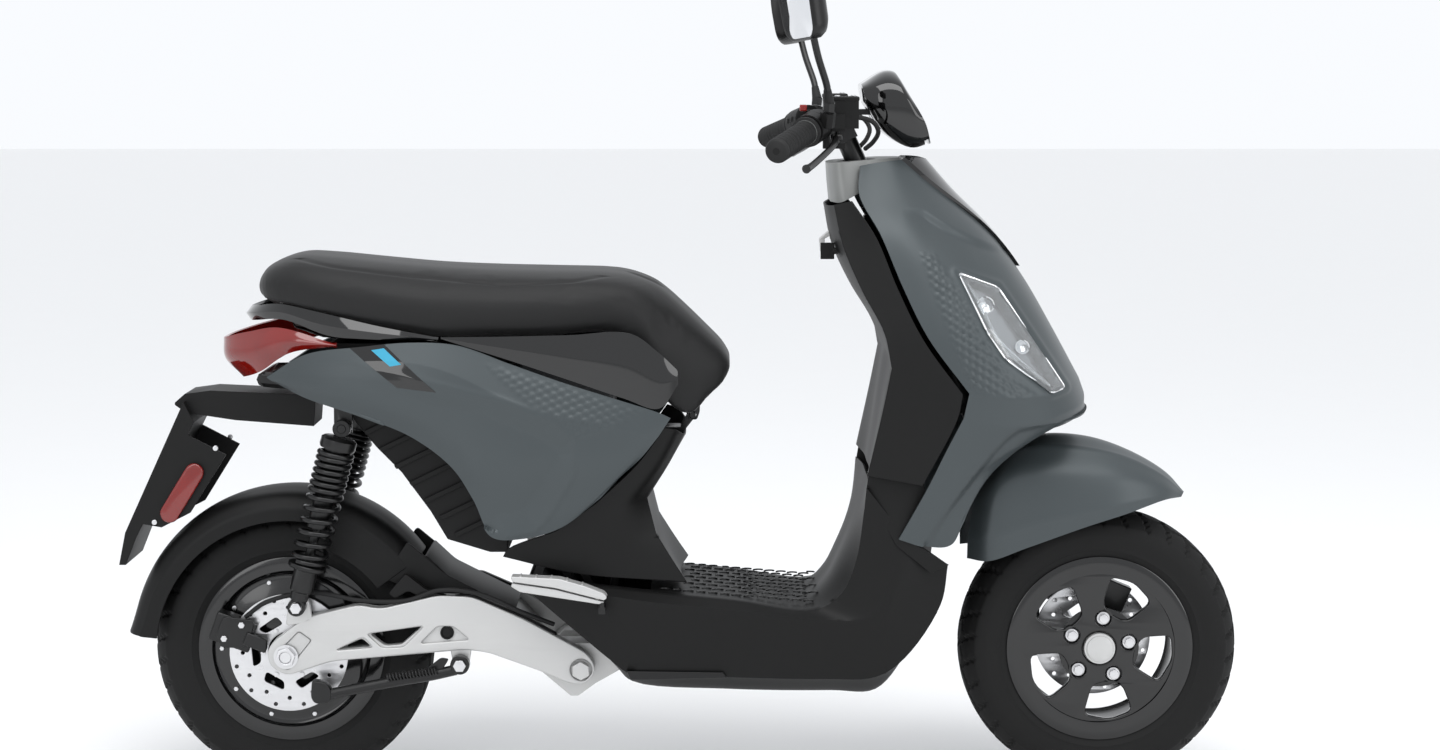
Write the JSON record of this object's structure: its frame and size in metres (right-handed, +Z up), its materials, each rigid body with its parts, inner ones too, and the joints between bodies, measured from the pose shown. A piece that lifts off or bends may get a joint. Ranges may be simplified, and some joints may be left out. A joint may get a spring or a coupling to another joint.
{
  "type": "moped scooter",
  "caption": "Electric step-through moped scooter with one seat, cast swingarm, hub motor, disc brakes, twin rear shocks and a folded centre stand.",
  "frame": {"origin": "on the ground under the middle of the whole length", "axes": "+X forward, +Y to the rider's left, +Z up"},
  "size_m": [1.66, 0.73, 1.2004],
  "materials": {
    "satin_blue_grey": "satin paint",
    "light_grey": "satin plastic",
    "gloss_black": "gloss paint",
    "wheel_black": "gloss black paint",
    "matte_black": "fine grain",
    "black_metal": "satin black",
    "cast_silver": "cast, painted silver",
    "steel": "bright",
    "tyre_rubber": "moulded rubber",
    "grip_rubber": "ribbed rubber",
    "seat_cover": "grained vinyl",
    "clear_lens": "clear",
    "red_lens": "clear red",
    "red_plastic": "satin",
    "battery_grey": "satin"
  },
  "bodies": {
    "chassis": {"frame": "black_metal", "keel_casting": "cast_silver", "front_shield": "satin_blue_grey", "shield_top_trim": "gloss_black", "leg_shield": "matte_black", "steering_cover": "light_grey", "signal_lens_right": "clear_lens", "signal_lens_left": "clear_lens", "floor_fairing": "matte_black", "seat_pedestal": "matte_black", "side_panel_right": "satin_blue_grey", "side_panel_left": "satin_blue_grey", "side_trim_right": "gloss_black", "side_trim_left": "gloss_black", "grab_handle": "gloss_black", "tail_light": "red_lens", "plate_bracket": "matte_black", "storage_bucket": "matte_black", "battery_pack": "battery_grey", "shock_right_body": "black_metal", "shock_right_spring": "black_metal", "shock_left_body": "black_metal", "shock_left_spring": "black_metal"},
    "swingarm": {"swingarm": "cast_silver", "rear_axle": "steel", "rear_caliper": "black_metal", "rear_fender": "matte_black"},
    "rear_wheel": {"rear_tyre": "tyre_rubber", "hub_motor_wheel": "wheel_black", "rear_brake_disc": "steel"},
    "shock_right_rod": {"shock_right_rod": "black_metal"},
    "shock_left_rod": {"shock_left_rod": "black_metal"},
    "centre_stand": {"centre_stand": "black_metal"},
    "seat": {"seat": "seat_cover"},
    "footrest_right": {"footrest_right": "cast_silver"},
    "footrest_left": {"footrest_left": "cast_silver"},
    "bag_hook": {"bag_hook": "cast_silver"},
    "ignition_key": {"ignition_key": "matte_black"},
    "steering": {"steering_stem": "black_metal", "front_fender": "satin_blue_grey", "handlebar": "black_metal", "headlamp_housing": "gloss_black", "headlamp_lens": "clear_lens", "left_grip": "grip_rubber", "controls_right": "matte_black", "controls_left": "matte_black", "front_shock_body": "black_metal"},
    "front_link": {"front_link_arm": "cast_silver", "front_caliper": "black_metal"},
    "front_wheel": {"front_tyre": "tyre_rubber", "front_rim": "wheel_black", "front_hub": "cast_silver", "front_brake_disc": "steel"},
    "front_shock_rod": {"front_shock_rod": "steel"},
    "throttle_grip": {"throttle_grip": "grip_rubber"},
    "lever_right": {"lever_right": "black_metal"},
    "lever_left": {"lever_left": "black_metal"},
    "mirror_right": {"mirror_right": "black_metal"},
    "mirror_left": {"mirror_left": "black_metal"},
    "kill_switch": {"kill_switch": "red_plastic"}
  },
  "joints": [
    {"name": "swingarm_pivot", "type": "hinge", "parent": "chassis", "child": "swingarm", "pos_m": [-0.145, 0, 0.187], "axis": [0, 1, 0], "range_deg": [0, 4], "stiffness_Nm_per_rad": 2500, "springref_deg": -11.46, "deforming": ["shock_right_spring", "shock_left_spring"]},
    {"name": "rear_wheel_spin", "type": "hinge", "parent": "swingarm", "child": "rear_wheel", "pos_m": [-0.577, 0, 0.207], "axis": [0, 1, 0], "continuous": true},
    {"name": "shock_right_slide", "type": "slide", "parent": "chassis", "child": "shock_right_rod", "axis": [0.2581, 0, 0.9661], "range_m": [0, 0.03]},
    {"name": "shock_left_slide", "type": "slide", "parent": "chassis", "child": "shock_left_rod", "axis": [0.2581, 0, 0.9661], "range_m": [0, 0.03]},
    {"name": "centre_stand_pivot", "type": "hinge", "parent": "swingarm", "child": "centre_stand", "pos_m": [-0.321, 0, 0.198], "axis": [0, -1, 0], "range_deg": [0, 75], "stiffness_Nm_per_rad": 4, "springref_deg": -57.3},
    {"name": "seat_hinge", "type": "hinge", "parent": "chassis", "child": "seat", "pos_m": [0.019, 0, 0.556], "axis": [0, 1, 0], "range_deg": [0, 60]},
    {"name": "footrest_right_fold", "type": "hinge", "parent": "chassis", "child": "footrest_right", "pos_m": [-0.111, -0.165, 0.305], "axis": [0, 0, 1], "range_deg": [0, 75]},
    {"name": "footrest_left_fold", "type": "hinge", "parent": "chassis", "child": "footrest_left", "pos_m": [-0.111, 0.165, 0.305], "axis": [0, 0, -1], "range_deg": [0, 75]},
    {"name": "bag_hook_fold", "type": "hinge", "parent": "chassis", "child": "bag_hook", "pos_m": [0.225, 0, 0.822], "axis": [0, 1, 0], "range_deg": [0, 60]},
    {"name": "ignition_turn", "type": "hinge", "parent": "chassis", "child": "ignition_key", "pos_m": [0.229, -0.064, 0.8], "axis": [1, 0, 0], "range_deg": [0, 90]},
    {"name": "steering_turn", "type": "hinge", "parent": "chassis", "child": "steering", "pos_m": [0.5954, 0, 0.207], "axis": [-0.4226, 0, 0.9063], "range_deg": [-35, 35]},
    {"name": "front_link_pivot", "type": "hinge", "parent": "steering", "child": "front_link", "pos_m": [0.525, 0, 0.187], "axis": [0, -1, 0], "range_deg": [0, 16], "stiffness_Nm_per_rad": 400, "springref_deg": -22.92},
    {"name": "front_wheel_spin", "type": "hinge", "parent": "front_link", "child": "front_wheel", "pos_m": [0.623, 0, 0.207], "axis": [0, 1, 0], "continuous": true},
    {"name": "front_shock_slide", "type": "slide", "parent": "steering", "child": "front_shock_rod", "axis": [-0.4226, 0, 0.9063], "range_m": [0, 0.0225]},
    {"name": "throttle_twist", "type": "hinge", "parent": "steering", "child": "throttle_grip", "pos_m": [0.157, -0.2855, 0.965], "axis": [-0.3543, -0.9167, -0.1849], "range_deg": [0, 75], "stiffness_Nm_per_rad": 0.4},
    {"name": "lever_right_pull", "type": "hinge", "parent": "steering", "child": "lever_right", "pos_m": [0.223, -0.186, 0.968], "axis": [0, 0, -1], "range_deg": [0, 14], "stiffness_Nm_per_rad": 4},
    {"name": "lever_left_pull", "type": "hinge", "parent": "steering", "child": "lever_left", "pos_m": [0.223, 0.186, 0.968], "axis": [0, 0, 1], "range_deg": [0, 14], "stiffness_Nm_per_rad": 4},
    {"name": "mirror_right_turn", "type": "hinge", "parent": "steering", "child": "mirror_right", "pos_m": [0.2095, -0.2275, 1.01], "axis": [0, 0, 1], "range_deg": [-25, 25]},
    {"name": "mirror_left_turn", "type": "hinge", "parent": "steering", "child": "mirror_left", "pos_m": [0.2095, 0.2275, 1.01], "axis": [0, 0, 1], "range_deg": [-25, 25]},
    {"name": "kill_switch_press", "type": "slide", "parent": "steering", "child": "kill_switch", "axis": [0, 0, -1], "range_m": [0, 0.0015], "stiffness_N_per_m": 400}
  ],
  "couplings": [
    {"joint": "shock_right_slide", "follows": "swingarm_pivot", "m_per_rad": 0.4233},
    {"joint": "shock_left_slide", "follows": "swingarm_pivot", "m_per_rad": 0.4233},
    {"joint": "front_shock_slide", "follows": "front_link_pivot", "m_per_rad": 0.07745}
  ]
}
